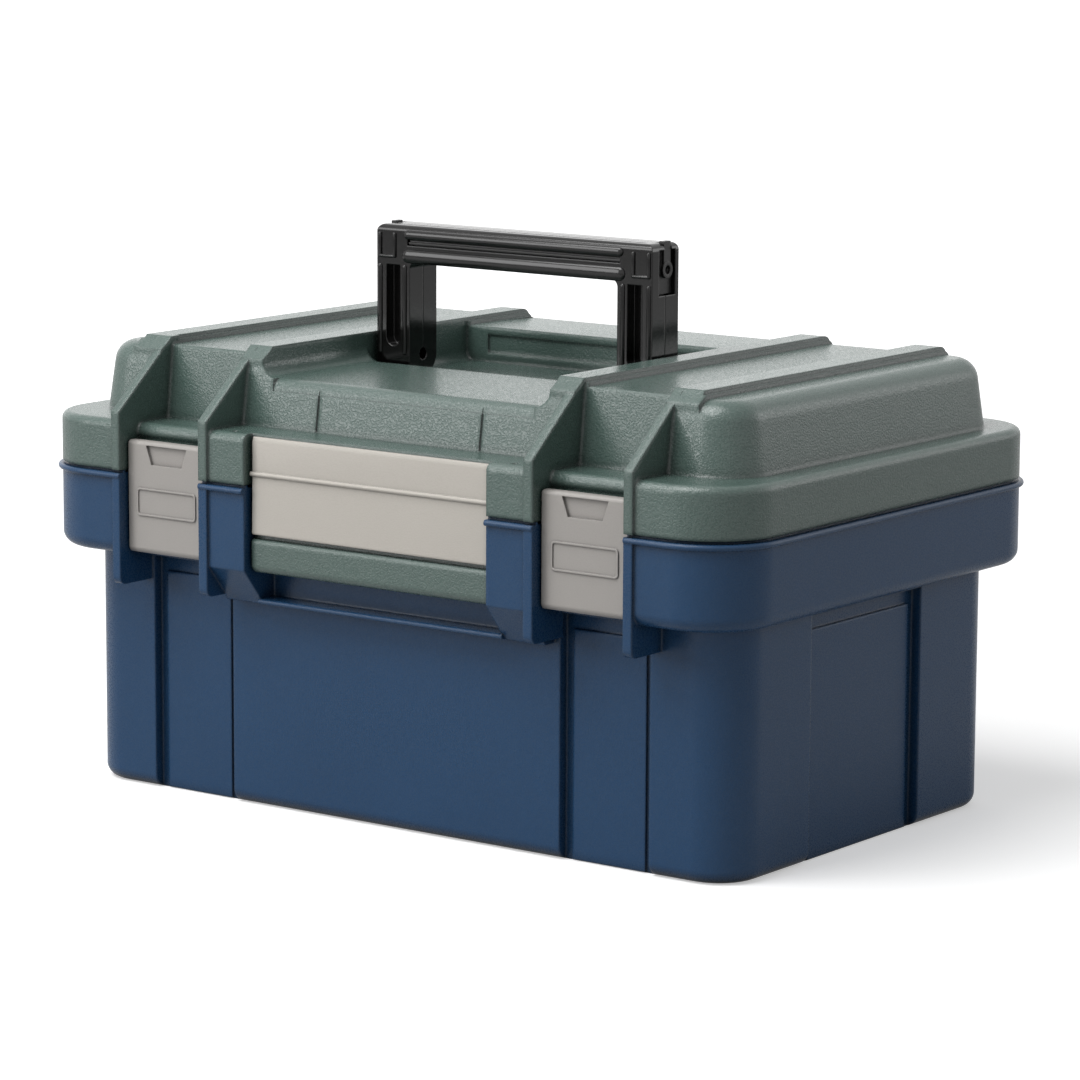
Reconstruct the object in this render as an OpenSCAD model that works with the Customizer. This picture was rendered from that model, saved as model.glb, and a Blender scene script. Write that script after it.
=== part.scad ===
// Hard tool case: a deep moulded tub with a stepped-out rim band, a domed lid on rear
// hinge pins, two front latches on bottom pins and a carrying handle that folds back
// into a recess in the lid.
// X is the width, the front faces -Y, Z is up, the origin is the centre of the rest face.

/* [Shell] */
// Wall thickness of the moulded shells
wall = 3; // [2.5:0.1:3.5]
// Running clearance round a pin
pin_clear = 0.05; // [0.02:0.01:0.09]
// Clearance between pieces that pass each other
slip = 0.3; // [0.25:0.05:0.5]

/* [Rim band] */
// Width over the rim band
rim_w = 430; // [415:1:450]
// Depth over the rim band
rim_d = 282; // [276:1:290]
// Corner radius of the rim band
rim_r = 35; // [30:1:40]
// Height of the base's top edge
part_z = 166; // [160:1:172]
// Gap between the base and the lid
part_gap = 1.5; // [1:0.1:2.5]
// How far the top bead stands proud of the band
bead_proud = 2.2; // [1:0.1:2.6]
// Height of the top bead
bead_h = 3; // [2.5:0.1:4]

/* [Base] */
// Width of the tall body under the band
body_w = 403; // [395:1:408]
// Depth of the tall body
body_d = 236; // [230:1:240]
// Corner radius of the tall body
body_r = 24; // [20:1:28]
// Height of the shelf where the band steps out
shelf_z = 124; // [118:1:128]
// Rounding of the bottom edge
foot_round = 7; // [4:0.5:8]
// Rounding of the band's lower edge
band_round = 7; // [4:0.5:8]
// Half width of the raised block in the middle of the front
mid_block = 102; // [98:1:104]
// Inner edge of the raised corner blocks
corner_block = 154.5; // [150:0.5:158]
// Depth of the sunk panels between the blocks
panel_sink = 5.5; // [3:0.5:7]
// Width of the groove round each panel
panel_groove = 5; // [3:0.5:7]
// How far the panel stands above its groove
panel_rise = 1.3; // [0.8:0.1:2]
// Top of the panels
panel_top = 113; // [105:1:116]
// Length of the sunk panel on each end
end_panel = 98; // [80:1:110]
// Middle of the end panels, measured from the centre
end_panel_y = -3; // [-8:1:3]

/* [Front] */
// Inner face of the inner fins
fin_in = 98; // [95:0.5:100]
// Thickness of the inner fins
fin_in_t = 5.3; // [4:0.1:6]
// Inner face of the outer fins
fin_out = 155.7; // [154:0.1:160]
// Thickness of the outer fins
fin_out_t = 5; // [4:0.1:6]
// How far the fins stand in front of the band
fin_proud = 1.5; // [1:0.1:3]
// Height of the fins' lower ends
fin_foot = 109; // [104:1:112]
// Height where the fins start to slant back
knee_z = 197; // [195:0.5:200]
// Half width of the gap between the pillars
well_half = 75; // [72:0.5:80]
// Lower edge of the pillars
pillar_foot = 106; // [103:1:108]
// Height where the pillars start to slope back
pillar_slope_z = 124.5; // [120:0.5:126]
// How far the pillars' feet slope back
pillar_slope = 15; // [10:1:18]
// Depth of the rail under the finger well
rail_d = 12; // [8:1:14]
// Thickness of the rail
rail_t = 2.5; // [2:0.5:4]
// Distance from the band's face to the base's wall behind a latch
bay_sink = 11.2; // [10.5:0.1:12]
// Thickness of the lip inside the base's top edge
lip_t = 1.4; // [1:0.1:1.6]

/* [Lid] */
// Top of the lid's band
ledge_z = 192.8; // [190:0.2:194]
// Rounding of the band's top edge
ledge_round = 4; // [2:0.5:5]
// Width of the dome at its foot
dome_w = 402; // [398:1:406]
// Depth of the dome at its foot
dome_d = 236; // [230:1:240]
// How far the dome sits behind the centre
dome_back = 3.5; // [0:0.5:6]
// Corner radius of the dome
dome_r = 24; // [20:1:28]
// Height of the dome's top
dome_z = 227.6; // [225:0.2:230]
// How far the dome's walls lean in
dome_lean = 5; // [3:0.5:7]
// Rounding of the dome's top edge
dome_round = 11; // [6:0.5:13]
// How far the strips stand above the dome
strip_rise = 3.9; // [3:0.1:5]
// Height of the lower step beside each strip
strip_step = 2; // [1:0.1:2.5]
// Width of that lower step
strip_step_w = 1.9; // [1:0.1:2.5]
// Width of the inner strips
strip_in_w = 14.6; // [12:0.2:16]
// Inner edge of the outer strips
strip_out = 157.6; // [156:0.2:160]
// Width of the outer strips
strip_out_w = 15; // [12:0.5:18]
// Front end of the strips
strip_front = -101.5; // [-104:0.5:-98]
// Rear end of the strips
strip_rear = 107; // [100:0.5:110]
// Distance of the dome's front grooves from the middle
groove_x = 50.6; // [45:0.2:56]
// How far the dome is set back behind the latches
dome_bay_sink = 9.5; // [6:0.5:11]
// Height of the ledge behind the latches
bay_ledge_z = 190.3; // [189:0.1:191]
// Distance from the band's face to the lid's wall behind a latch
lid_bay_sink = 14; // [13:0.1:15]
// Radius of the rounded bar above each latch
nose_r = 4.2; // [3:0.1:5]
// How far that bar stands in front of the wall under it
nose_out = 1.6; // [1:0.1:2.5]

/* [Recess] */
// Half width of the handle recess
recess_half = 88.8; // [87:0.1:92]
// Height of the plateau in front of the handle
plateau_z = 216.9; // [214:0.1:219]
// Rear edge of the plateau
plateau_rear = -26.5; // [-30:0.5:-25.5]
// Floor of the well that takes the folded handle
well_z = 209; // [207.5:0.1:209.2]
// Rear wall of the well
well_rear = 57.5; // [57:0.5:62]
// Rounding where the well's walls meet its floor
well_round = 5; // [3:0.5:5]
// Rounding where the plateau's walls meet it
plateau_round = 8; // [4:0.5:10]
// Rear edge of the ridge behind the well
ridge_rear = 82; // [78:1:90]

/* [Handle] */
// Half width over the handle
handle_half = 86; // [84:0.5:86.2]
// Half width of the hand opening
grip_half = 65; // [62:0.5:66]
// Depth of the handle, front to back
handle_d = 22.4; // [20:0.2:22.6]
// Top of the handle
handle_z = 287.3; // [280:0.5:288]
// Underside of the grip
grip_z = 269; // [262:0.5:270]
// Lower end of the legs
leg_foot = 213.3; // [212:0.1:215]
// Handle pivot, front to back
pivot_y = -10.5; // [-12:0.1:-10]
// Handle pivot height
pivot_z = 221; // [220.9:0.1:222]
// Radius of the handle's pivot pins
pivot_r = 3; // [2.5:0.1:3.5]
// Radius of the washers on the pivot pins
washer_r = 6.5; // [5:0.1:6.6]
// Gap between the two handle shells
seam = 0.2; // [0.2:0.05:0.3]
// Width of the channel down each leg
channel_w = 9; // [7:0.5:10]
// Depth of that channel
channel_d = 6; // [4:0.5:7]
// Height of the slot along the grip
slot_h = 4.6; // [4:0.1:6]
// Depth of that slot
slot_d = 3; // [2:0.1:4]

/* [Latches] */
// Width of a latch
latch_w = 50.4; // [48:0.1:51]
// Upper edge of the latches
latch_top = 182.6; // [180:0.1:183]
// Plate thickness of the latches
latch_t = 2.4; // [2:0.1:2.6]
// Lower edge of the raised outline on a latch
frame_foot = 144.8; // [140:0.2:148]
// Height of that outline
frame_h = 14.2; // [12:0.2:16]
// How far the latch face lies behind the fins
latch_sink = 6; // [5:0.1:7]
// Radius of the latch pins
latch_pin_r = 1.5; // [1.2:0.1:1.7]
// Height of the latch pins
latch_pin_z = 128.6; // [128:0.1:130]
// Radius of the knuckle that a latch's lower end curls into
latch_knuckle_r = 3.2; // [2.8:0.1:3.3]

/* [Hinge] */
// Radius of the hinge pins
hinge_pin_r = 2; // [1.5:0.1:2.5]
// Radius of the hinge knuckles
knuckle_r = 4.5; // [4:0.1:5]
// Distance of the hinge pins from the centre
hinge_x = 110; // [90:1:120]
// Length of a hinge pin
hinge_len = 56; // [50:1:66]
// Length of the lid's knuckle in the middle of each hinge
lid_knuckle = 22; // [18:1:24]

/* [Front plate] */
// Half width of the grey plate
plate_half = 73.2; // [71:0.1:73.5]
// Lower edge of the plate
plate_foot = 142.8; // [141:0.2:146]
// Upper edge of the plate
plate_top = 191.4; // [188:0.2:191.6]
// Thickness of the plate
plate_t = 2.4; // [2:0.1:3]
// Distance from the band's face to the plate's back
plate_sink = 7; // [6:0.1:8]
// Height of the ridge across the plate
plate_ridge_z = 173; // [168:0.5:178]
// Lower edge of the grip bar under the plate
bar_foot = 123.4; // [122:0.2:126]
// Upper edge of the grip bar
bar_top = 140.6; // [138:0.2:141]
// Thickness of the grip bar, front to back
bar_d = 8; // [6:0.5:9]

/* [Hidden] */
$fn = 64;

blue = "#27405f";
green = "#5f6f6a";
latch_grey = "#a8a6a2";
plate_grey = "#b6b2ac";
black = "#1b1a19";
steel = "#b8bcc0";

join = 2;                       // overlap where two volumes of one piece merge
rim_x = rim_w/2;
rim_y = rim_d/2;
body_x = body_w/2;
body_y = body_d/2;
lid_z = part_z + part_gap;      // lower edge of the lid
dome_x = dome_w/2;
dome_y = dome_d/2;
strip_z = dome_z + strip_rise;
fin_y = -rim_y - fin_proud;     // front faces of the fins
latch_y = fin_y + latch_sink;   // front face of a latch
bay_y = -rim_y + bay_sink;      // wall behind a latch
bay_in = fin_in + fin_in_t;     // a latch bay runs from here
bay_out = fin_out;              // to here
latch_x = (bay_in + bay_out)/2;
latch_pin_y = latch_y + latch_knuckle_r;
skirt_y = -rim_y + plate_sink;  // front face of the tongue behind the plate
plate_y = skirt_y - plate_t;
skirt_half = plate_half + slip;
hinge_y = rim_y + knuckle_r + slip;
hinge_z = part_z + part_gap/2;
handle_r = handle_d/2;          // from the pivot to the handle's faces
latch_foot = latch_pin_z - latch_knuckle_r;
catch_y = latch_y + latch_t + 3;     // front of the lid's catch ribs
pin_head_r = pivot_r + 2;       // heads of the pivot pins
pin_head_t = 2;
plate_boss_r = 3.2;
plate_screw_r = 1.3;
plate_fixings = [for (x = [-60, 60], z = [150, 183]) [x, z]];
channel_x = (grip_half + handle_half)/2;
slot_z = (handle_z + grip_z)/2 - 1;
handle_screw_r = 1.5;
handle_screw_head = 2.9;
handle_fixings = [for (x = [-channel_x, channel_x], z = [238, 258]) [x, z]];
lid_bay_y = -rim_y + lid_bay_sink;   // lid's wall behind a latch

// ---- shapes that repeat ----

// Sweeps a wall section round a rounded rectangle. The section's x is the distance
// from the corner's centre line, its y is the height.
module sweep_round(half_x, half_y, r) {
    for (sx = [0, 1], sy = [0, 1])
        mirror([sx, 0, 0]) mirror([0, sy, 0])
            translate([half_x - r, half_y - r, 0])
                rotate_extrude(angle = 90) children();
    for (sx = [0, 1])
        mirror([sx, 0, 0]) translate([half_x - r, 0, 0]) rotate([90, 0, 0])
            linear_extrude(2*(half_y - r), center = true) children();
    for (sy = [0, 1])
        mirror([0, sy, 0]) translate([0, half_y - r, 0]) rotate([90, 0, 90])
            linear_extrude(2*(half_x - r), center = true) children();
}

// A closed block with that section all round and a plain core
module rounded_block(half_x, half_y, r, z0, z1) {
    sweep_round(half_x, half_y, r) children();
    translate([-(half_x - r) - join, -(half_y - r) - join, z0])
        cube([2*(half_x - r + join), 2*(half_y - r + join), z1 - z0]);
}

// Section of a plain wall, r wide, with its outer lower edge rounded
module foot_section(r, z0, z1, round) {
    translate([0, z0 + round]) square([r, z1 - z0 - round]);
    translate([0, z0]) square([r - round, z1 - z0]);
    translate([r - round, z0 + round]) circle(round);
}

// Section with its outer upper edge rounded
module head_section(r, z0, z1, round) {
    translate([0, z0]) square([r, z1 - z0 - round]);
    translate([0, z0]) square([r - round, z1 - z0]);
    translate([r - round, z1 - round]) circle(round);
}

// Section whose outer wall leans in by lean and ends in a round shoulder
module dome_section(r, z0, z1, lean, round) {
    a = atan(lean/(z1 - z0));
    cz = z1 - round;
    cx = r - (cz - z0)*tan(a) - round/cos(a);
    polygon([[0, z0], [r, z0], [cx + round*cos(a), cz + round*sin(a)], [cx, z1], [0, z1]]);
    translate([cx, cz]) intersection() {
        circle(round);
        square(round + 1);
    }
}

// Extrudes a (y, z) outline along X from x0 to x1
module along_x(x0, x1)
    translate([x0, 0, 0]) rotate([90, 0, 90]) linear_extrude(x1 - x0) children();

// The same on both sides
module both(x0, x1) {
    along_x(x0, x1) children();
    along_x(-x1, -x0) children();
}

module mirrored() {
    children();
    mirror([1, 0, 0]) children();
}

// A bar along X
module rod(x0, x1, y, z, r)
    translate([x0, y, z]) rotate([0, 90, 0]) cylinder(r = r, h = x1 - x0);

module box(x0, x1, y0, y1, z0, z1)
    translate([x0, y0, z0]) cube([x1 - x0, y1 - y0, z1 - z0]);

// ---- base ----

// Latch bays and finger well cut into the base's band, or with g their walls
module base_front_pockets(g) {
    mirrored() box(bay_in - g, bay_out + g, -rim_y - 20, bay_y + g, shelf_z - 20, part_z + 5);
    box(-well_half - g, well_half + g, -rim_y - 20, -body_y + g, fin_foot - g, part_z + 5);
}

// Sunk panels of the tall body, or with g the walls round them
module base_panels(g) {
    plateau = g > 0 ? 0 : 1;
    for (sy = [0, 1]) mirror([0, sy, 0]) mirrored()
        difference() {
            box(mid_block - g, corner_block + g, -body_y - 10, -body_y + panel_sink + g,
                -10, shelf_z - wall*plateau);
            if (plateau == 1)
                box(mid_block + panel_groove, corner_block - panel_groove,
                    -body_y + panel_sink - panel_rise, -body_y + panel_sink + 1,
                    -11, panel_top);
        }
    mirrored() difference() {
        box(body_x - panel_sink - g, body_x + 10, end_panel_y - end_panel/2 - g,
            end_panel_y + end_panel/2 + g, -10, shelf_z - wall*plateau);
        if (plateau == 1)
            box(body_x - panel_sink - 1, body_x - panel_sink + panel_rise,
                end_panel_y - end_panel/2 + panel_groove,
                end_panel_y + end_panel/2 - panel_groove, -11, panel_top);
    }
}

module base_outside() {
    rounded_block(body_x, body_y, body_r, 0, shelf_z + join)
        foot_section(body_r, 0, shelf_z + join, foot_round);
    rounded_block(rim_x, rim_y, rim_r, shelf_z, part_z)
        foot_section(rim_r, shelf_z, part_z, band_round);
    bead();
    // lip that the lid closes over
    sweep_round(rim_x, rim_y, rim_r)
        translate([rim_r - wall, part_z - 1]) square([lip_t, 1 + part_gap - slip]);
    // pillars: their feet slope back under the band
    both(well_half, fin_in + 1)
        polygon([[-rim_y, shelf_z + band_round + 1], [-rim_y, pillar_slope_z],
            [-rim_y + pillar_slope, pillar_foot], [-body_y + 1, pillar_foot],
            [-body_y + 1, shelf_z + band_round + 1]]);
}

// Rounded bead round the top edge of the band
module bead()
    sweep_round(rim_x, rim_y, rim_r) {
        translate([rim_r - wall, part_z - bead_h]) square([wall + bead_proud - bead_h/2, bead_h]);
        translate([rim_r + bead_proud - bead_h/2, part_z - bead_h/2]) circle(bead_h/2);
    }

module base_cavity() difference() {
    union() {
        rounded_block(body_x - wall, body_y - wall, body_r - wall, wall, shelf_z + wall + 1)
            foot_section(body_r - wall, wall, shelf_z + wall + 1, foot_round - wall);
        rounded_block(rim_x - wall, rim_y - wall, rim_r - wall, shelf_z + wall, part_z + 5)
            foot_section(rim_r - wall, shelf_z + wall, part_z + 5, band_round - wall);
    }
    base_panels(wall);
    base_front_pockets(wall);
}

// Fins of the base, with a rounded front foot
module base_fin_outline() {
    foot = 4;
    difference() {
        translate([fin_y, fin_foot]) square([-body_y + 1 - fin_y, part_z - fin_foot]);
        translate([fin_y - 1, fin_foot - 1]) square(foot + 1);
        translate([bay_y + wall, shelf_z + wall])
            square([50, part_z]);
    }
    translate([fin_y + foot, fin_foot + foot]) circle(foot);
}

module base_fins() {
    both(fin_in, bay_in) base_fin_outline();
    both(bay_out, bay_out + fin_out_t) base_fin_outline();
}

// Rail at the foot of the finger well
module well_rail()
    along_x(-well_half - 1, well_half + 1) {
        translate([-body_y - rail_d + rail_t/2, fin_foot - rail_t])
            square([rail_d + 1, rail_t]);
        translate([-body_y - rail_d + rail_t/2, fin_foot - rail_t/2]) circle(rail_t/2);
    }

// Knuckles of one hinge: the base carries the outer two, the lid the middle one
module base_knuckles() {
    half = hinge_len/2 - 2;
    for (s = [-1, 1]) {
        x0 = s > 0 ? hinge_x + lid_knuckle/2 + slip : hinge_x - half;
        x1 = s > 0 ? hinge_x + half : hinge_x - lid_knuckle/2 - slip;
        rod(x0, x1, hinge_y, hinge_z, knuckle_r);
        along_x(x0, x1) polygon([[rim_y - 1, part_z], [hinge_y - 1, part_z],
            [hinge_y + knuckle_r*cos(40), hinge_z - knuckle_r*sin(40)],
            [rim_y - 1, part_z - 14]]);
    }
}

module base_tub() color(blue) difference() {
    union() {
        difference() {
            base_outside();
            base_panels(0);
            base_front_pockets(0);
            base_cavity();
        }
        base_fins();
        well_rail();
        mirrored() base_knuckles();
    }
    mirrored() rod(hinge_x - hinge_len/2 - 5, hinge_x + hinge_len/2 + 5, hinge_y, hinge_z,
        hinge_pin_r + pin_clear);
    mirrored() rod(fin_in - 1, bay_out + fin_out_t + 1, latch_pin_y, latch_pin_z,
        latch_pin_r + pin_clear);
    // room for the lid's knuckle
    mirrored() rod(hinge_x - lid_knuckle/2 - slip, hinge_x + lid_knuckle/2 + slip, hinge_y,
        hinge_z, knuckle_r + slip);
}

// ---- lid ----

// Pocket behind a latch: it leaves a rounded bar above the latch
module lid_bay_outline(g) {
    nose_y = lid_bay_y - nose_out + nose_r + g;
    nose_z = bay_ledge_z - nose_r - g;
    difference() {
        union() {
            translate([-rim_y - 20, lid_z - 20]) square([20 + lid_bay_sink + g, nose_z - lid_z + 20]);
            translate([-rim_y - 20, nose_z - 1]) square([nose_y + rim_y + 20, 40]);
        }
        translate([nose_y, nose_z]) circle(nose_r);
    }
}

// The dome's front wall is set back above the latches
module dome_bay_outline(g) {
    lean = dome_lean*(strip_z - ledge_z)/(dome_z - ledge_z);
    y0 = dome_back - dome_y + dome_bay_sink + g;
    polygon([[-rim_y - 10, bay_ledge_z - g], [y0 - 0.4, bay_ledge_z - g],
        [y0 + lean, strip_z + 10], [-rim_y - 10, strip_z + 10]]);
}

// Space cut for the handle: plateau in front, well behind, or with g its walls
module recess_section(z0, r, g) {
    half = recess_half + g;
    translate([-half, z0 - g + r]) square([2*half, 60]);
    translate([-half + r, z0 - g]) square([2*(half - r), 60]);
    for (s = [-1, 1]) translate([s*(half - r), z0 - g + r]) circle(r);
}

module along_y(y0, y1)
    translate([0, y1, 0]) rotate([90, 0, 0]) linear_extrude(y1 - y0) children();

module recess(g) {
    along_y(-rim_y, plateau_rear + 1) recess_section(plateau_z, plateau_round, g);
    along_y(plateau_rear - g, well_rear + g) recess_section(well_z, well_round, g);
}

module dome(inset, z0)
    translate([0, dome_back, 0])
        rounded_block(dome_x - inset, dome_y - inset, dome_r - inset, z0, dome_z - inset)
            dome_section(dome_r - inset, z0, dome_z - inset,
                dome_lean*(dome_z - inset - z0)/(dome_z - ledge_z), dome_round - inset);

// Raised strips in two steps, with sloped front ends and round rear ends
module strip(x0, x1) {
    back_r = 6;
    for (step = [[strip_step_w, strip_step], [0, strip_rise]])
        along_x(x0 - step[0], x1 + step[0]) {
            z1 = dome_z + step[1];
            polygon([[strip_front - 6 - step[0], dome_z - 8], [strip_front - 6 - step[0], dome_z - 2],
                [strip_front - step[0], z1], [strip_rear, z1], [strip_rear, dome_z - 8]]);
            translate([strip_rear, z1 - back_r]) intersection() {
                circle(back_r);
                square(2*back_r, center = true);
            }
        }
}

module lid_fin_outline()
    polygon([[fin_y, lid_z], [fin_y, knee_z], [strip_front, strip_z],
        [strip_front + 6, strip_z], [strip_front + 6, dome_z - 1.5],
        [dome_back - dome_y + dome_lean + 1, dome_z - dome_round],
        [dome_back - dome_y + 1.5, ledge_z - 1.5], [-rim_y + 1.5, ledge_z - 1.5],
        [-rim_y + 1.5, lid_z]]);

module lid_outside() {
    rounded_block(rim_x, rim_y, rim_r, lid_z, ledge_z)
        head_section(rim_r, lid_z, ledge_z, ledge_round);
    dome(0, ledge_z - join);
    mirrored() {
        strip(recess_half, recess_half + strip_in_w);
        strip(strip_out, strip_out + strip_out_w);
    }
}

// Everything cut from the outside; with g, the walls that stay round it
module lid_cuts(g) {
    recess(g);
    both(bay_in - g, bay_out + g) {
        lid_bay_outline(g);
        dome_bay_outline(g);
    }
    box(-well_half - g, well_half + g, -rim_y - 20, skirt_y + g, lid_z - 30, strip_z);
}

module lid_cavity() difference() {
    union() {
        rounded_block(rim_x - wall, rim_y - wall, rim_r - wall, lid_z - 5, ledge_z - wall)
            head_section(rim_r - wall, lid_z - 5, ledge_z - wall, 1);
        dome(wall, ledge_z - wall - join);
    }
    lid_cuts(wall);
}

// Tongue in the middle of the front: a skirt behind the plate and a rounded grip bar
module tongue() {
    r = bar_d/2;
    bar_y = plate_y - 0.6;
    box(-skirt_half, skirt_half, skirt_y, skirt_y + wall, bar_foot + r, lid_z + 5);
    along_x(-skirt_half, skirt_half) {
        translate([bar_y, bar_foot + r]) square([bar_d, bar_top - bar_foot - r - 2]);
        translate([bar_y + 2, bar_foot + r]) square([bar_d - 2, bar_top - bar_foot - r]);
        translate([bar_y + 2, bar_top - 2]) circle(2);
        translate([bar_y + r, bar_foot + r]) circle(r);
    }
}

// Catch rib behind each latch
module catch_ribs()
    both(latch_x - 14, latch_x + 14)
        polygon([[lid_bay_y + 1, lid_z + 2], [lid_bay_y + 1, lid_z + 9],
            [catch_y, lid_z + 6], [catch_y, lid_z + 3]]);

module lid_knuckles() {
    rod(hinge_x - lid_knuckle/2, hinge_x + lid_knuckle/2, hinge_y, hinge_z, knuckle_r);
    along_x(hinge_x - lid_knuckle/2, hinge_x + lid_knuckle/2)
        polygon([[rim_y - 1, lid_z], [hinge_y - 1, lid_z],
            [hinge_y + knuckle_r*cos(40), hinge_z + knuckle_r*sin(40)],
            [rim_y - 1, lid_z + 13]]);
}

// Framed panel on the rear wall of the well, and the slope behind the ridge
module rear_cuts() {
    box(-recess_half + 14, recess_half - 14, well_rear - 1, well_rear + 1, well_z + 5, dome_z - 4);
    along_x(-recess_half + 4, recess_half - 4)
        polygon([[ridge_rear, dome_z + 1], [ridge_rear, dome_z],
            [dome_back + dome_y, dome_z - 1.2], [dome_back + dome_y, dome_z + 1]]);
}

module lid_shell() color(green) difference() {
    union() {
        difference() {
            lid_outside();
            lid_cuts(0);
            rear_cuts();
            front_edge_cut();
            lid_cavity();
        }
        both(fin_in, bay_in) lid_fin_outline();
        both(bay_out, bay_out + fin_out_t) lid_fin_outline();
        tongue();
        // roof over the finger well, down to the base's wall
        box(-well_half - wall, well_half + wall, skirt_y, -body_y + wall, lid_z, lid_z + wall);
        catch_ribs();
        mirrored() lid_knuckles();
    }
    mirrored() rod(hinge_x - lid_knuckle, hinge_x + lid_knuckle, hinge_y, hinge_z,
        hinge_pin_r + pin_clear);
    mirrored() rod(handle_half, recess_half + wall + 1, pivot_y, pivot_z, pivot_r + pin_clear);
    // room for the pivot pins' heads under the roof
    mirrored() rod(recess_half + wall, recess_half + wall + pin_head_t + slip, pivot_y, pivot_z,
        pin_head_r + slip);
    for (p = plate_fixings) translate([p[0], skirt_y - 1, p[1]]) rotate([-90, 0, 0])
        cylinder(r = plate_boss_r + slip, h = wall + 2);
    // small blind holes in the pillars' tops
    mirrored() translate([(well_half + fin_in)/2, -rim_y + 7.5, ledge_z - 2])
        cylinder(r = 1.6, h = 5, $fn = 24);
    // grooves in the middle of the dome's front
    mirrored() translate([groove_x, dome_back - dome_y, ledge_z])
        rotate([-atan(dome_lean/(dome_z - ledge_z)), 0, 0])
            translate([-0.8, -2, 0.5]) cube([1.6, 3.2, 40]);
}

// Rounds the front edge of the plateau
module front_edge_cut() {
    r = 6;
    y0 = dome_back - dome_y + dome_lean*(plateau_z - ledge_z)/(dome_z - ledge_z);
    along_x(-recess_half + plateau_round, recess_half - plateau_round) difference() {
        translate([y0 - 4, plateau_z - r]) square([r + 4, r + 1]);
        translate([y0 + r, plateau_z - r]) circle(r);
    }
}

// ---- hinge pins ----

module hinge_pin()
    rod(hinge_x - hinge_len/2, hinge_x + hinge_len/2, hinge_y, hinge_z, hinge_pin_r);

module hinge_pin_right() color(steel) hinge_pin();
module hinge_pin_left() color(steel) mirror([1, 0, 0]) hinge_pin();

// ---- latches ----

// One latch, drawn about its own middle
module latch() {
    half = latch_w/2;
    back = bay_y - 0.6;
    difference() {
        union() {
            along_x(-half, half) {
                translate([latch_y, latch_pin_z]) square([latch_t, latch_top - latch_pin_z - 2]);
                translate([latch_y + 2, latch_top - latch_t]) square([back - latch_y - 3, latch_t]);
                translate([latch_y + 2, latch_top - 2]) circle(2);
            }
            for (s = [0, 1]) mirror([s, 0, 0]) box(half - 1.8, half, latch_y + 1, back - 1,
                latch_foot + 6, latch_top - 1);
            rod(-half, half, latch_pin_y, latch_pin_z, latch_knuckle_r);
            // lug that meets the catch rib
            box(-11, 11, latch_y + 1, catch_y - slip, lid_z + 2, lid_z + 7);
            latch_frame();
        }
        rod(-half - 1, half + 1, latch_pin_y, latch_pin_z, latch_pin_r + pin_clear);
        // finger notch
        translate([0, latch_y + 1.4, 0]) rotate([90, 0, 0]) linear_extrude(3)
            polygon([[-13.4, latch_top - 2], [-10, latch_top - 11.6], [10, latch_top - 11.6],
                [13.4, latch_top - 2]]);
    }
}

// Raised outline round a blank field
module latch_frame() {
    w = latch_w - 11.6;
    h = frame_h;
    z0 = frame_foot;
    translate([0, latch_y + 0.5, z0 + h/2]) rotate([90, 0, 0]) linear_extrude(1.1)
        difference() {
            round_rect(w, h, 2);
            round_rect(w - 2, h - 2, 1.2);
        }
}

module round_rect(w, h, r) {
    square([w - 2*r, h], center = true);
    square([w, h - 2*r], center = true);
    for (sx = [-1, 1], sy = [-1, 1]) translate([sx*(w/2 - r), sy*(h/2 - r)]) circle(r, $fn = 32);
}

module latch_right() color(latch_grey) translate([latch_x, 0, 0]) latch();
module latch_left() color(latch_grey) translate([-latch_x, 0, 0]) latch();

module latch_pin()
    rod(fin_in + 1, bay_out + fin_out_t - 0.6, latch_pin_y, latch_pin_z, latch_pin_r);

module latch_pin_right() color(steel) latch_pin();
module latch_pin_left() color(steel) mirror([1, 0, 0]) latch_pin();

// ---- front plate ----

module front_plate() color(plate_grey) difference() {
    union() {
        along_x(-plate_half, plate_half)
            polygon([[skirt_y, plate_foot], [skirt_y, plate_top], [plate_y + 1, plate_top],
                [plate_y, plate_top - 2.5], [plate_y, plate_ridge_z], [plate_y - 0.6, plate_foot + 1],
                [plate_y - 0.2, plate_foot]]);
        rod(-plate_half - 0.9, plate_half, plate_y, plate_ridge_z, 1.2);
        for (p = plate_fixings) translate([p[0], skirt_y - 1, p[1]]) rotate([-90, 0, 0])
            cylinder(r = plate_boss_r, h = wall + 1);
    }
    for (p = plate_fixings) translate([p[0], skirt_y - 1, p[1]]) rotate([-90, 0, 0])
        cylinder(r = plate_screw_r + pin_clear, h = wall + 2, $fn = 24);
}

module front_plate_screws() color(steel)
    for (p = plate_fixings) translate([p[0], skirt_y, p[1]]) rotate([-90, 0, 0]) {
        translate([0, 0, -0.8]) cylinder(r = plate_screw_r, h = wall + 1.2, $fn = 24);
        translate([0, 0, wall + pin_clear]) cylinder(r = plate_boss_r + 1.4, h = 1.6, $fn = 32);
    }

// ---- handle ----

// Outline of the handle seen from the front
module handle_outline() {
    r = 4;
    difference() {
        union() {
            translate([-handle_half, leg_foot])
                square([2*handle_half, handle_z - leg_foot - r]);
            translate([-handle_half + r, leg_foot])
                square([2*(handle_half - r), handle_z - leg_foot]);
            for (s = [-1, 1]) translate([s*(handle_half - r), handle_z - r]) circle(r);
        }
        translate([-grip_half + 4, leg_foot - 1]) square([2*grip_half - 8, grip_z - leg_foot + 1]);
        translate([-grip_half, leg_foot - 1]) square([2*grip_half, grip_z - leg_foot - 3]);
        for (s = [-1, 1]) translate([s*(grip_half - 4), grip_z - 4]) circle(4);
    }
}

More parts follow.
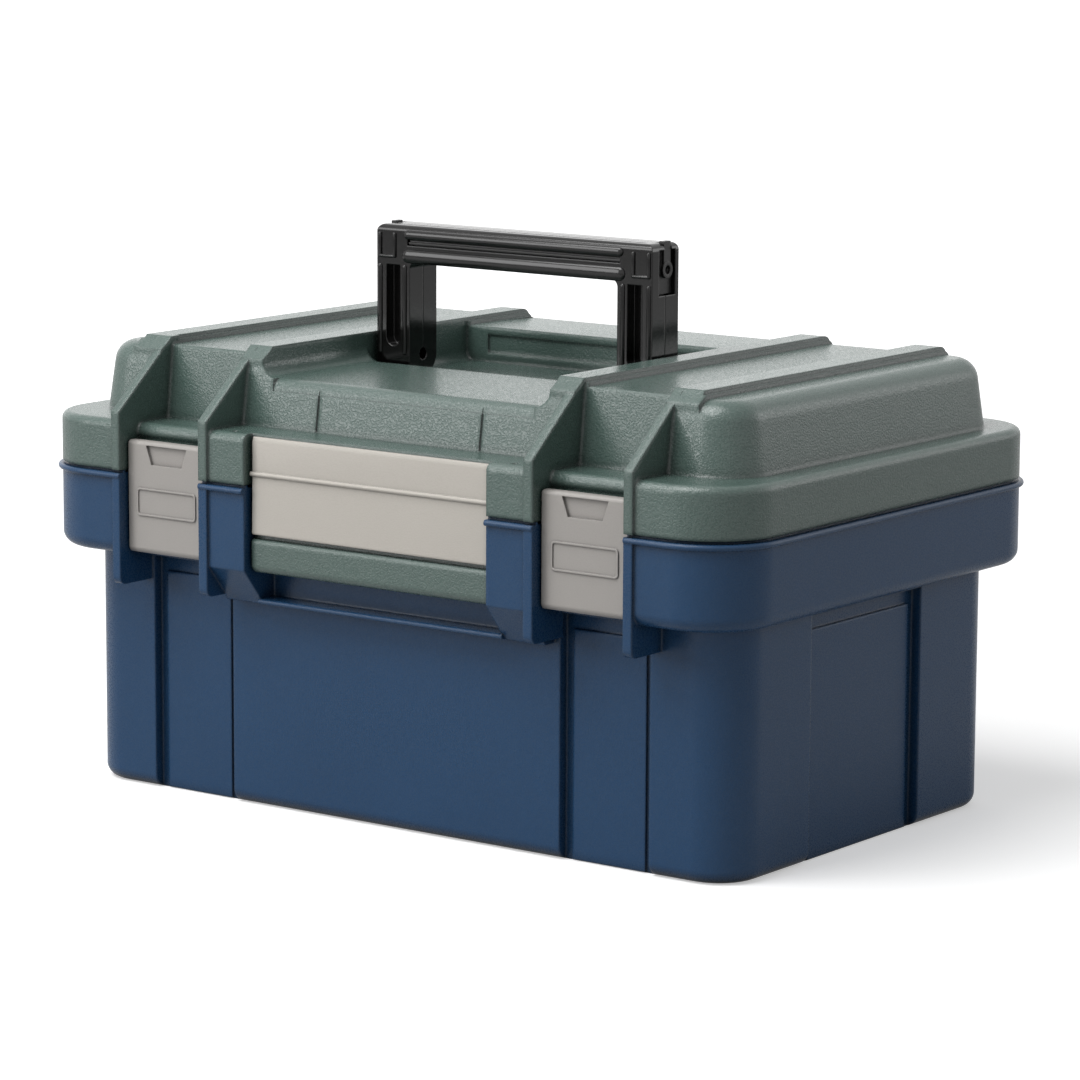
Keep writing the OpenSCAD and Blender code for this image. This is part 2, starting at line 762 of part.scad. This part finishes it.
// Cuts both shells share: pivot bores, round heels, side windows and corner notches
module handle_cuts() {
    rod(-handle_half - 1, handle_half + 1, pivot_y, pivot_z, pivot_r + pin_clear);
    // round heel that clears the well's floor when the handle folds
    along_x(-handle_half - 1, handle_half + 1) difference() {
        translate([pivot_y, leg_foot - 1]) square([handle_r + 1, pivot_z - leg_foot + 1]);
        translate([pivot_y, pivot_z]) circle(handle_r);
    }
    mirrored() {
        box(handle_half - 3.6, handle_half + 1, pivot_y - 5.5, pivot_y + 8.5, 261.5, 284);
        box(handle_half - 6, handle_half + 1, pivot_y - 0.6, pivot_y + 5.6, 283, handle_z + 1);
    }
}

// Rounds a long top edge; y is the face, s points into the material
module top_edge_cut(y, s) {
    r = 3;
    along_x(-handle_half - 1, handle_half + 1) difference() {
        translate([min(y - s, y + s*r), handle_z - r]) square([r + 1, r + 1]);
        translate([y + s*r, handle_z - r]) circle(r);
    }
}

module handle_front_shell() color(black) difference() {
    translate([0, pivot_y - seam/2, 0]) rotate([90, 0, 0])
        linear_extrude(handle_r - seam/2) handle_outline();
    handle_cuts();
    top_edge_cut(pivot_y - handle_r, 1);
    // channel down each leg
    mirrored() translate([channel_x, pivot_y - handle_r + channel_d, 0]) rotate([90, 0, 0])
        linear_extrude(channel_d + 1) {
            translate([-channel_w/2, leg_foot + 12 + channel_w/2])
                square([channel_w, grip_z - leg_foot - 14 - channel_w/2]);
            translate([0, leg_foot + 12 + channel_w/2]) circle(channel_w/2);
        }
    // slot along the grip for the insert
    box(-grip_half - 1.5, grip_half + 1.5, pivot_y - handle_r - 1,
        pivot_y - handle_r + slot_d, slot_z, slot_z + slot_h);
    // double line along the top
    box(-handle_half + 8, handle_half - 8, pivot_y - handle_r + 5, pivot_y - handle_r + 6.4,
        handle_z - 1, handle_z + 1);
    // blind holes for the shell screws
    for (p = handle_fixings) translate([p[0], pivot_y - handle_r + channel_d + 1.2, p[1]])
        rotate([-90, 0, 0]) cylinder(r = handle_screw_r + pin_clear, h = 20, $fn = 24);
}

module handle_rear_shell() color(black) difference() {
    translate([0, pivot_y + handle_r, 0]) rotate([90, 0, 0])
        linear_extrude(handle_r - seam/2) handle_outline();
    handle_cuts();
    top_edge_cut(pivot_y + handle_r, -1);
    for (p = handle_fixings) translate([p[0], pivot_y - 1, p[1]]) rotate([-90, 0, 0]) {
        cylinder(r = handle_screw_r + pin_clear, h = 20, $fn = 24);
        translate([0, 0, handle_r - 3]) cylinder(r = handle_screw_head + slip, h = 8, $fn = 32);
    }
}

// Ridge seated in the grip's slot
module handle_grip_insert() color(black) difference() {
    box(-grip_half - 1, grip_half + 1, pivot_y - handle_r + 0.6, pivot_y - handle_r + slot_d,
        slot_z + 0.5, slot_z + slot_h - 0.5);
    box(-grip_half - 2, grip_half + 2, pivot_y - handle_r, pivot_y - handle_r + 1.4,
        slot_z + slot_h/2 - 0.5, slot_z + slot_h/2 + 0.5);
}

// Clip in each side window: a plate with a loop, hooked over the top corner
module handle_clip() {
    x1 = handle_half - 3.6;
    difference() {
        union() {
            box(x1, x1 + 1.4, pivot_y - 5.3, pivot_y + 8.3, 262, 283.6);
            rod(x1, handle_half - 0.4, pivot_y + 2.5, 274, 4.2);
            box(x1, handle_half - 0.8, pivot_y - 0.3, pivot_y + 5.3, 274, handle_z + 0.8);
        }
        rod(x1 + 1.4, handle_half + 1, pivot_y + 2.5, 274, 2.2);
    }
}

module handle_clip_right() color(black) handle_clip();
module handle_clip_left() color(black) mirror([1, 0, 0]) handle_clip();

module handle_screws() color(steel)
    for (p = handle_fixings) translate([p[0], pivot_y, p[1]]) rotate([-90, 0, 0]) {
        head_z = handle_r - 3 + pin_clear;
        tip_z = -handle_r + channel_d + 2;
        translate([0, 0, tip_z]) cylinder(r = handle_screw_r, h = head_z - tip_z + 1, $fn = 24);
        translate([0, 0, head_z]) cylinder(r = handle_screw_head, h = 1.8, $fn = 32);
    }

// Pivot pin through the recess wall, with a head inside the lid
module pivot_pin() {
    rod(handle_half - 14, recess_half + wall + 1, pivot_y, pivot_z, pivot_r);
    rod(recess_half + wall, recess_half + wall + pin_head_t, pivot_y, pivot_z, pin_head_r);
}

module handle_pivot_pin_right() color(steel) pivot_pin();
module handle_pivot_pin_left() color(steel) mirror([1, 0, 0]) pivot_pin();

// Washer that keeps a handle leg off the recess wall
module washer() difference() {
    rod(handle_half + slip, recess_half, pivot_y, pivot_z, washer_r);
    rod(handle_half, recess_half + 1, pivot_y, pivot_z, pivot_r + pin_clear);
}

module handle_washer_right() color(black) washer();
module handle_washer_left() color(black) mirror([1, 0, 0]) washer();

base_tub();
lid_shell();
hinge_pin_left();
hinge_pin_right();
latch_left();
latch_right();
latch_pin_left();
latch_pin_right();
front_plate();
front_plate_screws();
handle_front_shell();
handle_rear_shell();
handle_grip_insert();
handle_clip_left();
handle_clip_right();
handle_pivot_pin_left();
handle_pivot_pin_right();
handle_washer_left();
handle_washer_right();
handle_screws();
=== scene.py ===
"""Hard tool case in grey-green and navy plastic, dressed for looks on its CAD frame.

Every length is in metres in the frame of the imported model: X is the width, the
latches face -Y, Z is up and the case stands on z = 0.
"""

import bpy
import numpy as np
from mathutils import Matrix, Vector


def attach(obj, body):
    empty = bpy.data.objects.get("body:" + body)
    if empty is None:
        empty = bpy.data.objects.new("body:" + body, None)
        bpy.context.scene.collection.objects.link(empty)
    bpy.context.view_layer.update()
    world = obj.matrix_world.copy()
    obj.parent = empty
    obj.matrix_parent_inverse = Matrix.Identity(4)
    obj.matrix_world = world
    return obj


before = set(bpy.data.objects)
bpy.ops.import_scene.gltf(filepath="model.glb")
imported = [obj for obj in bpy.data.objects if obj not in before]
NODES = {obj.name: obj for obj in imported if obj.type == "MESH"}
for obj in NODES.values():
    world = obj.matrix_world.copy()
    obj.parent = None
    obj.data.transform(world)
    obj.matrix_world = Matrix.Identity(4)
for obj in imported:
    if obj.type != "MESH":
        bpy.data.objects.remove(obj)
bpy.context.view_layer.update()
MM = 0.001


# ---- camera: the photograph's own view ----

CAMERA_PLACE = Vector((1.31866, -1.77818, 0.50615))     # m
CAMERA_AZIMUTH = np.radians(36.51)   # from -Y towards +X
CAMERA_ELEVATION = np.radians(9.66)
CAMERA_ROLL = np.radians(0.28)
CAMERA_LENS = 146.96                 # mm
CAMERA_SENSOR = 36.0                 # its width, mm
CAMERA_REACH = 50.0                  # nothing farther off is drawn, m


def place_camera():
    """Looks along -back, where back = (sin a cos e, -cos a cos e, sin e), rolled about it."""
    a, e, r = CAMERA_AZIMUTH, CAMERA_ELEVATION, CAMERA_ROLL
    back = Vector((np.sin(a) * np.cos(e), -np.cos(a) * np.cos(e), np.sin(e)))
    level = Vector((np.cos(a), np.sin(a), 0.0))
    above = back.cross(level)
    right = level * np.cos(r) + above * np.sin(r)
    up = above * np.cos(r) - level * np.sin(r)
    lens = bpy.data.cameras.new("photo_camera")
    lens.lens = CAMERA_LENS
    lens.sensor_width = CAMERA_SENSOR
    lens.clip_end = CAMERA_REACH
    camera = bpy.data.objects.new("photo_camera", lens)
    axes = Matrix((right, up, back)).transposed().to_4x4()
    camera.matrix_world = Matrix.Translation(CAMERA_PLACE) @ axes
    bpy.context.scene.collection.objects.link(camera)
    bpy.context.scene.camera = camera


# ---- materials ----

def linear(code):
    """sRGB hex to linear: c/12.92 at the dark end, ((c + 0.055)/1.055)^2.4 above it."""
    c = np.array([int(code[i:i + 2], 16) for i in (1, 3, 5)]) / 255.0
    low = c / 12.92
    high = ((c + 0.055) / 1.055) ** 2.4
    return (*(float(v) for v in np.where(c <= 0.04045, low, high)), 1.0)


def add(tree, kind, sockets=None, **settings):
    """Adds one node, sets its settings, then fills each named input with a value or a link."""
    made = tree.nodes.new(kind)
    for name, value in settings.items():
        setattr(made, name, value)
    for name, value in (sockets or {}).items():
        if isinstance(value, bpy.types.NodeSocket):
            tree.links.new(value, made.inputs[name])
        else:
            made.inputs[name].default_value = value
    return made


def new_material(name):
    """Makes a material with an empty node tree and gives both."""
    material = bpy.data.materials.new(name)
    material.use_nodes = True
    material.node_tree.nodes.clear()
    return material, material.node_tree


PLASTIC_IOR = 1.49       # refractive index
GRAIN_VALLEY = 0.36      # grain noise at the foot of a grain
GRAIN_CREST = 0.6        # and at its top
GRAIN_PAINTED_HIGHLIGHT = 0.15        # how far a grain's top is painted towards the light colour, a painted highlight
DULL_NOISE = 0.3         # grain noise where the skin is roughest
GLOSSY_NOISE = 0.7       # and where it is smoothest
CLOUD_MM = 70            # size of the pigment's clouds
PAINTED_SHADE_REACH_MM = 6               # how near a wall stands for its corner to get painted shade
PAINTED_SHADE_OPEN = 0.95          # open sky above which a place gets no painted shade
PAINTED_SHADE_SHUT = 0.1           # open sky below which the painted shade is darkest
PAINTED_SHADE_TONE = 0.15          # the painted shade's colour there, of 1
PROBES = 6               # rays by which a shader feels for edges and gaps


def moulded_plastic(name, colour, light, dark, rough, grain_mm, grain_depth_mm,
                    edge_mm, specular=0.5, rough_spread=0.08):
    """Injection moulded plastic. Its tool was etched, so the skin is covered in rounded
    grains of grain_mm across: smooth noise, cut on both sides of its middle, gives grains
    with softened valleys, and the crests are a little glossier and painted lighter, a
    painted highlight. A slow second noise carries the faint cloudiness of moulded pigment.
    Edges catch the light as if they were rounded to edge_mm, which is shading alone: the
    mesh itself is rounded by EDGE, further down. Gaps and inner corners are painted darker,
    a painted shade where little light reaches."""
    material, tree = new_material(name)
    where = add(tree, "ShaderNodeTexCoord").outputs["Object"]
    grain = add(tree, "ShaderNodeTexNoise", {
        "Vector": where, "Scale": 1.0 / (grain_mm * MM), "Detail": 2.0,
        "Roughness": 0.45, "Distortion": 0.3})
    pores = add(tree, "ShaderNodeMapRange", {
        "Value": grain.outputs["Fac"], "From Min": GRAIN_VALLEY, "From Max": GRAIN_CREST},
        interpolation_type="SMOOTHSTEP")
    cloud = add(tree, "ShaderNodeTexNoise", {
        "Vector": where, "Scale": 1.0 / (CLOUD_MM * MM), "Detail": 3.0, "Roughness": 0.5})
    body = add(tree, "ShaderNodeMix", {
        "Factor": cloud.outputs["Fac"], "A": linear(dark), "B": linear(colour)},
        data_type="RGBA")
    # painted highlight: each grain's top is painted towards the light colour
    crest_highlight = add(tree, "ShaderNodeMath", {0: pores.outputs["Result"], 1: GRAIN_PAINTED_HIGHLIGHT},
               operation="MULTIPLY")
    highlighted = add(tree, "ShaderNodeMix", {
        "Factor": crest_highlight.outputs[0], "A": body.outputs["Result"], "B": linear(light)},
        data_type="RGBA")
    # painted shade: the colour is darkened in gaps and inner corners, where nearby walls leave
    # little open sky
    shade_probe = add(tree, "ShaderNodeAmbientOcclusion", {"Distance": PAINTED_SHADE_REACH_MM * MM}, samples=PROBES)
    shade = add(tree, "ShaderNodeMapRange", {
        "Value": shade_probe.outputs["AO"], "From Min": PAINTED_SHADE_SHUT, "From Max": PAINTED_SHADE_OPEN,
        "To Min": PAINTED_SHADE_TONE})
    painted_shade = add(tree, "ShaderNodeMix", {
        "Factor": 1.0, "A": highlighted.outputs["Result"], "B": shade.outputs["Result"]},
        data_type="RGBA", blend_type="MULTIPLY")
    gloss = add(tree, "ShaderNodeMapRange", {
        "Value": grain.outputs["Fac"], "From Min": DULL_NOISE, "From Max": GLOSSY_NOISE,
        "To Min": rough + rough_spread, "To Max": rough - rough_spread})
    rounded = add(tree, "ShaderNodeBevel", {"Radius": edge_mm * MM}, samples=PROBES)
    relief = add(tree, "ShaderNodeBump", {
        "Height": pores.outputs["Result"], "Strength": 1.0,
        "Distance": grain_depth_mm * MM, "Normal": rounded.outputs["Normal"]})
    skin = add(tree, "ShaderNodeBsdfPrincipled", {
        "Base Color": painted_shade.outputs["Result"], "Roughness": gloss.outputs["Result"],
        "IOR": PLASTIC_IOR, "Specular IOR Level": specular,
        "Normal": relief.outputs["Normal"]})
    add(tree, "ShaderNodeOutputMaterial", {"Surface": skin.outputs["BSDF"]})
    return material


# The etch of such mouldings is a few tenths of a millimetre or finer, too fine to show, so
# every grain_mm below is drawn as coarse as it needs to show.

# Each light below is the painted highlight on the grains' tops; colour and dark are the
# pigment's clouds
# Polypropylene off a coarsely etched tool: rounded sand grains with a satin sheen
LID_PP = moulded_plastic(
    "polypropylene_lid_sand_grain", colour="#495e58", light="#86958f", dark="#40544e",
    rough=0.24, grain_mm=0.95, grain_depth_mm=0.065, edge_mm=3.0, specular=0.65)
# Polypropylene off a finely etched tool: an even satin with a soft sheen
BASE_PP = moulded_plastic(
    "polypropylene_base_satin_grain", colour="#214365", light="#315782", dark="#1d3c5b",
    rough=0.28, grain_mm=0.7, grain_depth_mm=0.015, edge_mm=1.8, specular=0.32)
# ABS, dyed through and lightly etched: dry and even
LATCH_ABS = moulded_plastic(
    "abs_latch_satin", colour="#a09c98", light="#aca8a4", dark="#9a9692",
    rough=0.46, grain_mm=0.7, grain_depth_mm=0.012, edge_mm=0.6)
PLATE_ABS = moulded_plastic(
    "abs_plate_satin", colour="#bab5ad", light="#c4bfb8", dark="#b4afa7",
    rough=0.48, grain_mm=0.8, grain_depth_mm=0.02, edge_mm=0.8)
# Glass filled nylon from a polished tool: deep black with clean highlights
HANDLE_PA = moulded_plastic(
    "nylon_handle_polished", colour="#0b0a0a", light="#121110", dark="#090808",
    rough=0.13, grain_mm=1.6, grain_depth_mm=0.002, edge_mm=0.9, rough_spread=0.02)
# The same nylon from an etched tool
INSERT_PA = moulded_plastic(
    "nylon_insert_satin", colour="#121110", light="#1d1b1a", dark="#0d0c0c",
    rough=0.4, grain_mm=0.6, grain_depth_mm=0.01, edge_mm=0.4)


DIE_LINE_MM = 0.4          # spacing of the die's lines, drawn coarse enough to show
DIE_LINE_DEPTH_MM = 0.01
DIE_LINE_STRETCH = 40      # their length over their spacing
STEEL_SMOOTH = 0.22        # roughness between which they change it
STEEL_ROUGH = 0.42


def drawn_steel():
    """Drawn wire and plated screws: fine lines left by the die run along the pin, so the
    noise is stretched DIE_LINE_STRETCH times along X. It changes height and roughness."""
    material, tree = new_material("steel_drawn_zinc_plated")
    where = add(tree, "ShaderNodeTexCoord").outputs["Object"]
    along = add(tree, "ShaderNodeMapping", {
        "Vector": where, "Scale": (1.0 / DIE_LINE_STRETCH, 1.0, 1.0)})
    lines = add(tree, "ShaderNodeTexNoise", {
        "Vector": along.outputs["Vector"], "Scale": 1.0 / (DIE_LINE_MM * MM), "Detail": 2.0})
    gloss = add(tree, "ShaderNodeMapRange", {
        "Value": lines.outputs["Fac"], "To Min": STEEL_SMOOTH, "To Max": STEEL_ROUGH})
    relief = add(tree, "ShaderNodeBump", {
        "Height": lines.outputs["Fac"], "Strength": 0.5, "Distance": DIE_LINE_DEPTH_MM * MM})
    skin = add(tree, "ShaderNodeBsdfPrincipled", {
        "Base Color": linear("#b9bcc0"), "Metallic": 1.0,
        "Roughness": gloss.outputs["Result"], "Normal": relief.outputs["Normal"]})
    add(tree, "ShaderNodeOutputMaterial", {"Surface": skin.outputs["BSDF"]})
    return material


STEEL = drawn_steel()

FINISH = {
    "base_tub": BASE_PP, "lid_shell": LID_PP,
    "latch_left": LATCH_ABS, "latch_right": LATCH_ABS, "front_plate": PLATE_ABS,
    "handle_front_shell": HANDLE_PA, "handle_rear_shell": HANDLE_PA,
    "handle_grip_insert": INSERT_PA, "handle_clip_left": INSERT_PA,
    "handle_clip_right": INSERT_PA, "handle_washer_left": INSERT_PA,
    "handle_washer_right": INSERT_PA,
    "hinge_pin_left": STEEL, "hinge_pin_right": STEEL, "latch_pin_left": STEEL,
    "latch_pin_right": STEEL, "front_plate_screws": STEEL,
    "handle_pivot_pin_left": STEEL, "handle_pivot_pin_right": STEEL,
    "handle_screws": STEEL,
}

# Edge rounding of each moulding, in mm
EDGE = {
    "base_tub": 0.4, "lid_shell": 0.5, "latch_left": 0.25, "latch_right": 0.25,
    "front_plate": 0.3, "handle_front_shell": 0.3, "handle_rear_shell": 0.3,
    "handle_grip_insert": 0.2, "handle_clip_left": 0.15, "handle_clip_right": 0.15,
}
EDGE_STEPS = 2
SHARP_ANGLE = np.radians(35)
MERGE_MM = 0.002         # corners nearer than this are one
FACE_WEIGHT = 90         # how far a large face rules the shading of its corners


def finish_frame():
    """Gives each CAD node its material, joins its doubled corners and rounds its sharp
    edges. Overlaps are clamped, so no rounding reaches past the CAD box."""
    for name, material in FINISH.items():
        piece = NODES[name]
        piece.data.materials.clear()
        piece.data.materials.append(material)
        piece.data.shade_smooth()
        weld = piece.modifiers.new("merge_corners", "WELD")
        weld.merge_threshold = MERGE_MM * MM
        if name in EDGE:
            edge = piece.modifiers.new("edge_rounding", "BEVEL")
            edge.width = EDGE[name] * MM
            edge.segments = EDGE_STEPS
            edge.limit_method = "ANGLE"
            edge.angle_limit = SHARP_ANGLE
            edge.use_clamp_overlap = True
            edge.miter_outer = "MITER_ARC"
        flat = piece.modifiers.new("flat_faces", "WEIGHTED_NORMAL")
        flat.keep_sharp = True
        flat.weight = FACE_WEIGHT


# ---- new pieces ----

def surface(name, points, body, material):
    """A smooth sheet through a grid of points: rows along u, columns along v, in metres.
    Quad (i, j) joins rows i and i + 1 to columns j and j + 1, and the columns close."""
    rows, columns = points.shape[:2]
    index = np.arange(rows * columns).reshape(rows, columns)
    here = index[:-1]
    there = index[1:]
    quads = np.stack([here, there, np.roll(there, -1, axis=1), np.roll(here, -1, axis=1)],
                     axis=-1).reshape(-1, 4)
    mesh = bpy.data.meshes.new(name)
    mesh.vertices.add(rows * columns)
    mesh.vertices.foreach_set("co", points.reshape(-1).astype(np.float32))
    mesh.loops.add(quads.size)
    mesh.loops.foreach_set("vertex_index", quads.reshape(-1).astype(np.int32))
    mesh.polygons.add(len(quads))
    mesh.polygons.foreach_set("loop_start", np.arange(0, quads.size, 4, dtype=np.int32))
    mesh.update(calc_edges=True)
    mesh.validate()
    mesh.shade_smooth()
    mesh.materials.append(material)
    piece = bpy.data.objects.new(name, mesh)
    bpy.context.scene.collection.objects.link(piece)
    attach(piece, body)


HANDLE_FACE = -21.7      # y of the handle's front face, mm
CAP_ROWS = 8             # rows of points on each round end of a rib
RING_POINTS = 24         # points round a rib
POLE_GAP = 0.02          # angle left open at the tip of each end


def handle_rib(name, start, end, radius, flat):
    """A rod with round ends whose section is an ellipse, half sunk in the handle's front.
    With e the unit vector from start to end, m = -Y and n square to both,
    p(u, v) = c(u) + r sin u (cos v n + flat sin v m) - r cos u e,
    where c is the start for u < pi/2 and the end from there on; start and end are x and z
    in mm, and flat is how far the rib stands proud over r."""
    start = np.array([start[0], HANDLE_FACE, start[1]]) * MM
    end = np.array([end[0], HANDLE_FACE, end[1]]) * MM
    along = (end - start) / np.linalg.norm(end - start)
    proud = np.array([0.0, -1.0, 0.0])
    side = np.cross(along, proud)
    u = np.concatenate([np.linspace(POLE_GAP, np.pi / 2, CAP_ROWS),
                        np.linspace(np.pi / 2, np.pi - POLE_GAP, CAP_ROWS)])
    v = np.arange(RING_POINTS) * 2 * np.pi / RING_POINTS
    centre = np.repeat([start, end], CAP_ROWS, axis=0)
    ring = np.cos(v)[:, None] * side + flat * np.sin(v)[:, None] * proud
    points = (centre[:, None, :] + radius * MM * np.sin(u)[:, None, None] * ring[None]
              - radius * MM * np.cos(u)[:, None, None] * along)
    surface(name, points, "handle", HANDLE_PA)


# Places on the handle's front, in mm: x is measured from the middle, z from the floor
LEG_OUTER_X = 83.9
LEG_INNER_X = 68.2
HOOK_INNER_X = 74.6
LEG_RIB_Z = (222.0, 266.0)
HOOK_Z = (271.2, 282.5)
BAR_END_X = 66.0
# Radius of a rib in mm, and how far it stands proud over its radius
LEG_RIB = (1.3, 0.8)
HOOK_RIB = (1.0, 1.2)
BARS = {"top": (282.6, 2.4, 0.6), "low": (271.8, 3.6, 0.45)}     # z first


def build_handle_ribs():
    """Ribs on the handle's front: two down each leg beside the channel, a hook's frame in
    each upper corner, and a wide round bar above and below the slot of the grip."""
    low, high = LEG_RIB_Z
    foot, tip = HOOK_Z
    for side, sign in (("left", -1), ("right", 1)):
        outer = sign * LEG_OUTER_X
        inner = sign * HOOK_INNER_X
        for place, x in (("outer", outer), ("inner", sign * LEG_INNER_X)):
            handle_rib("handle_rib_" + side + "_" + place, (x, low), (x, high), *LEG_RIB)
        for place, x in (("outer", outer), ("inner", inner)):
            handle_rib("handle_hook_" + side + "_" + place, (x, foot), (x, tip), *HOOK_RIB)
        handle_rib("handle_hook_" + side + "_foot", (inner, foot), (outer, foot), *HOOK_RIB)
    for place, (z, radius, flat) in BARS.items():
        handle_rib("handle_bar_" + place, (-BAR_END_X, z), (BAR_END_X, z), radius, flat)


# ---- studio ----

FLOOR_HALF = 12.0        # half the floor's side, m
FLOOR_NEAR = 0.5         # the floor starts to brighten this far from the case, m
FLOOR_FAR = 2.0          # and is white from here
FLOOR_GLOW_NEAR = 0.41   # light the floor adds by itself at these two places
FLOOR_GLOW_FAR = 0.9
SKY_LIGHT = 0.31         # strength of the world as a lamp, where white is 1
SKY_IN_GLOSS = 1.0       # how far a reflection sees the world turn white
PAPER_IN_GLOSS = 0.35    # the same for the floor
WHITE = (1.0, 1.0, 1.0, 1.0)
# Lamp: place, aim, side of its square in m, watts
LAMPS = {
    "top_softbox": ((-0.45, -1.0, 2.0), (0.0, 0.0, 0.2), 1.5, 44.0),
    "back_softbox": ((-1.9, 1.6, 0.75), (0.0, 0.0, 0.2), 2.4, 5.0),
    "left_softbox": ((-1.3, -1.8, 0.8), (0.0, -0.1, 0.2), 1.0, 13.0),
    "right_softbox": ((1.5, 1.7, 0.85), (0.15, 0.0, 0.2), 1.0, 5.0),
}


def seen_white(tree, in_gloss):
    """1 where the eye looks straight at the studio, in_gloss in a reflection, else 0:
    max(camera, in_gloss * max(glossy, transmission))."""
    ray = add(tree, "ShaderNodeLightPath")
    reflected = add(tree, "ShaderNodeMath", {
        0: ray.outputs["Is Glossy Ray"], 1: ray.outputs["Is Transmission Ray"]},
        operation="MAXIMUM")
    mirrored = add(tree, "ShaderNodeMath", {0: reflected.outputs[0], 1: in_gloss},
                   operation="MULTIPLY")
    shown = add(tree, "ShaderNodeMath", {
        0: ray.outputs["Is Camera Ray"], 1: mirrored.outputs[0]}, operation="MAXIMUM")
    return shown.outputs[0]


def build_floor():
    """White paper out to the horizon. It glows by s(d), d being the distance from the
    case's middle and s a smooth step from FLOOR_GLOW_NEAR to FLOOR_GLOW_FAR, so that only
    the case's own shadow shows on it. Light that bounces meets a dull grey instead."""
    corner = FLOOR_HALF
    mesh = bpy.data.meshes.new("studio_floor")
    mesh.from_pydata([(-corner, -corner, 0), (corner, -corner, 0), (corner, corner, 0),
                      (-corner, corner, 0)], [], [(0, 1, 2, 3)])
    floor = bpy.data.objects.new("studio_floor", mesh)
    bpy.context.scene.collection.objects.link(floor)
    material, tree = new_material("studio_paper")
    dull = add(tree, "ShaderNodeBsdfDiffuse", {"Color": linear("#a8a8a8")})
    paper = add(tree, "ShaderNodeBsdfDiffuse", {"Color": linear("#e6e6e6")})
    where = add(tree, "ShaderNodeTexCoord").outputs["Object"]
    away = add(tree, "ShaderNodeVectorMath", {0: where}, operation="LENGTH")
    rise = add(tree, "ShaderNodeMapRange", {
        "Value": away.outputs["Value"], "From Min": FLOOR_NEAR, "From Max": FLOOR_FAR,
        "To Min": FLOOR_GLOW_NEAR, "To Max": FLOOR_GLOW_FAR},
        interpolation_type="SMOOTHSTEP")
    glow = add(tree, "ShaderNodeEmission", {
        "Color": WHITE, "Strength": rise.outputs["Result"]})
    lifted = add(tree, "ShaderNodeAddShader")
    tree.links.new(paper.outputs[0], lifted.inputs[0])
    tree.links.new(glow.outputs[0], lifted.inputs[1])
    seen = add(tree, "ShaderNodeMixShader", {0: seen_white(tree, PAPER_IN_GLOSS)})
    tree.links.new(dull.outputs[0], seen.inputs[1])
    tree.links.new(lifted.outputs[0], seen.inputs[2])
    add(tree, "ShaderNodeOutputMaterial", {"Surface": seen.outputs[0]})
    mesh.materials.append(material)


def build_world():
    """A white world that shines at SKY_LIGHT where it is only a lamp."""
    world = bpy.data.worlds.new("studio_world")
    world.use_nodes = True
    tree = world.node_tree
    tree.nodes.clear()
    strength = add(tree, "ShaderNodeMapRange", {
        "Value": seen_white(tree, SKY_IN_GLOSS), "To Min": SKY_LIGHT, "To Max": 1.0})
    sky = add(tree, "ShaderNodeBackground", {
        "Color": WHITE, "Strength": strength.outputs["Result"]})
    add(tree, "ShaderNodeOutputWorld", {"Surface": sky.outputs[0]})
    bpy.context.scene.world = world


def build_lamps():
    """Four square soft boxes, each turned to its aim."""
    for name, (place, aim, size, watts) in LAMPS.items():
        light = bpy.data.lights.new(name, "AREA")
        light.shape = "SQUARE"
        light.size = size
        light.energy = watts
        lamp = bpy.data.objects.new(name, light)
        lamp.location = place
        lamp.rotation_euler = (Vector(aim) - Vector(place)).to_track_quat("-Z", "Y").to_euler()
        bpy.context.scene.collection.objects.link(lamp)


# ---- making ----

place_camera()
bpy.context.scene.view_settings.view_transform = "Standard"
finish_frame()
build_handle_ribs()
build_floor()
build_world()
build_lamps()

bpy.context.view_layer.update()
